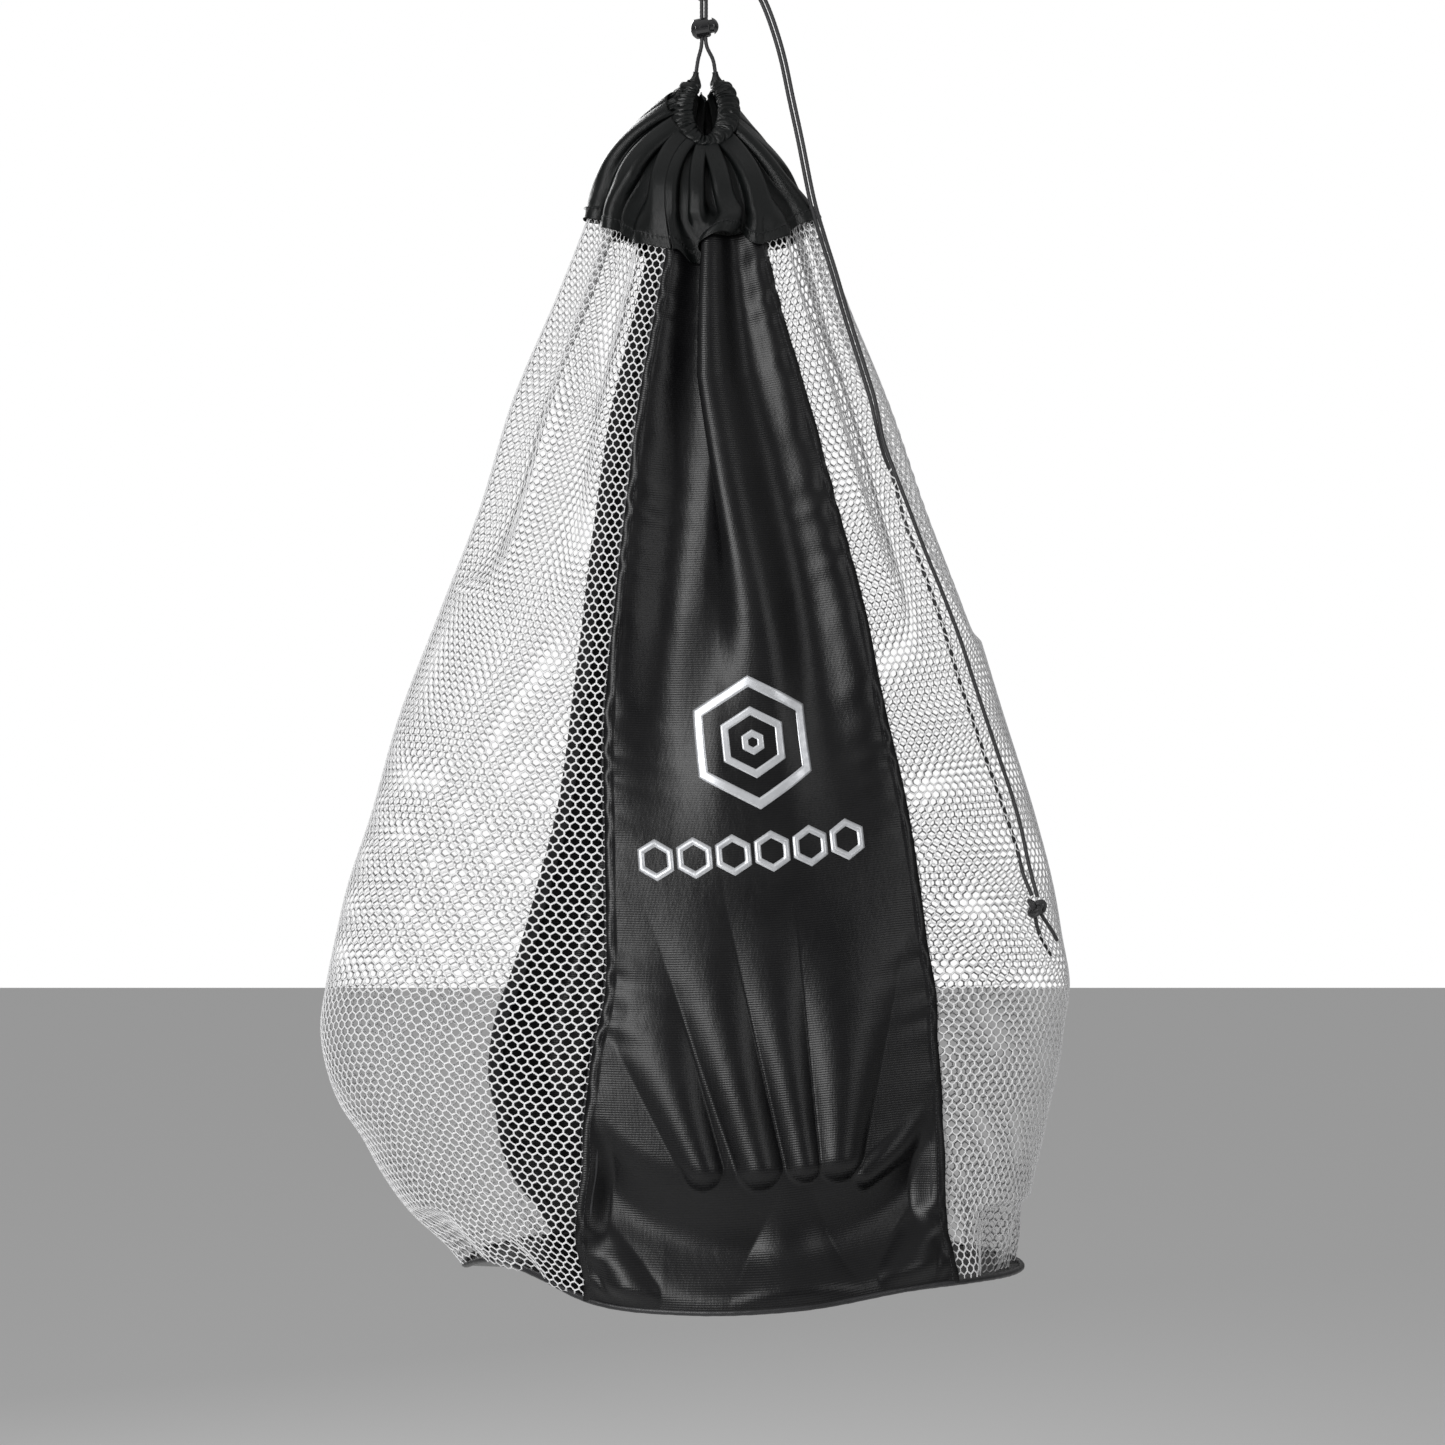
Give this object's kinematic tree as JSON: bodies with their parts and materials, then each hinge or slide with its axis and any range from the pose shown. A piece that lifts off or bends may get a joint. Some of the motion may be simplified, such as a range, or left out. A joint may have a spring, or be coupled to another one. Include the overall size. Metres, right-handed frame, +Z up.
{
  "type": "mesh ball bag",
  "caption": "Hanging drawstring ball bag with white net sides, black front, back and base panels, a gathered collar, a drawcord and a spring cord lock.",
  "frame": {"origin": "top of the cord eye that the bag hangs from", "axes": "+Z up along the hanging bag, -Y out of the front panel, +X to the right seen from the front"},
  "size_m": [0.5774, 0.384, 1.0376],
  "materials": {
    "panel_cloth": "coated ribbed polyester, satin",
    "collar_cloth": "smooth nylon, satin",
    "net": "knitted hexagonal polyester net, matte",
    "binding_tape": "woven tape with stitching",
    "piping": "coated welt piping, half gloss",
    "cord": "braided polyester cord, matte",
    "lock_plastic": "moulded nylon, gloss",
    "spring_steel": "drawn wire"
  },
  "bodies": {
    "bag": {"front_panel": "panel_cloth", "back_panel": "panel_cloth", "left_mesh": "net", "right_mesh": "net", "front_left_binding": "binding_tape", "front_right_binding": "binding_tape", "back_left_binding": "binding_tape", "back_right_binding": "binding_tape", "base_panel": "panel_cloth", "base_piping": "piping", "collar": "collar_cloth", "drawcord_casing": "collar_cloth", "drawcord": "cord", "hang_loop": "cord", "hang_knot": "cord", "tail_cord_outer": "cord", "tail_cord_inner": "cord", "end_knot": "cord", "cord_end_outer": "cord", "cord_end_inner": "cord"},
    "cord_lock": {"lock_barrel": "lock_plastic", "lock_spring": "spring_steel"},
    "button": {"lock_plunger": "lock_plastic"}
  },
  "joints": [
    {"name": "cord_lock_slide", "type": "slide", "parent": "bag", "child": "cord_lock", "axis": [0, 0, 1], "range_m": [0, 0.01]},
    {"name": "button_press", "type": "slide", "parent": "cord_lock", "child": "button", "axis": [-0.9781, 0, -0.2079], "range_m": [0, 0.0022], "stiffness_N_per_m": 1500, "springref_m": -0.004, "deforming": ["lock_spring"]}
  ]
}
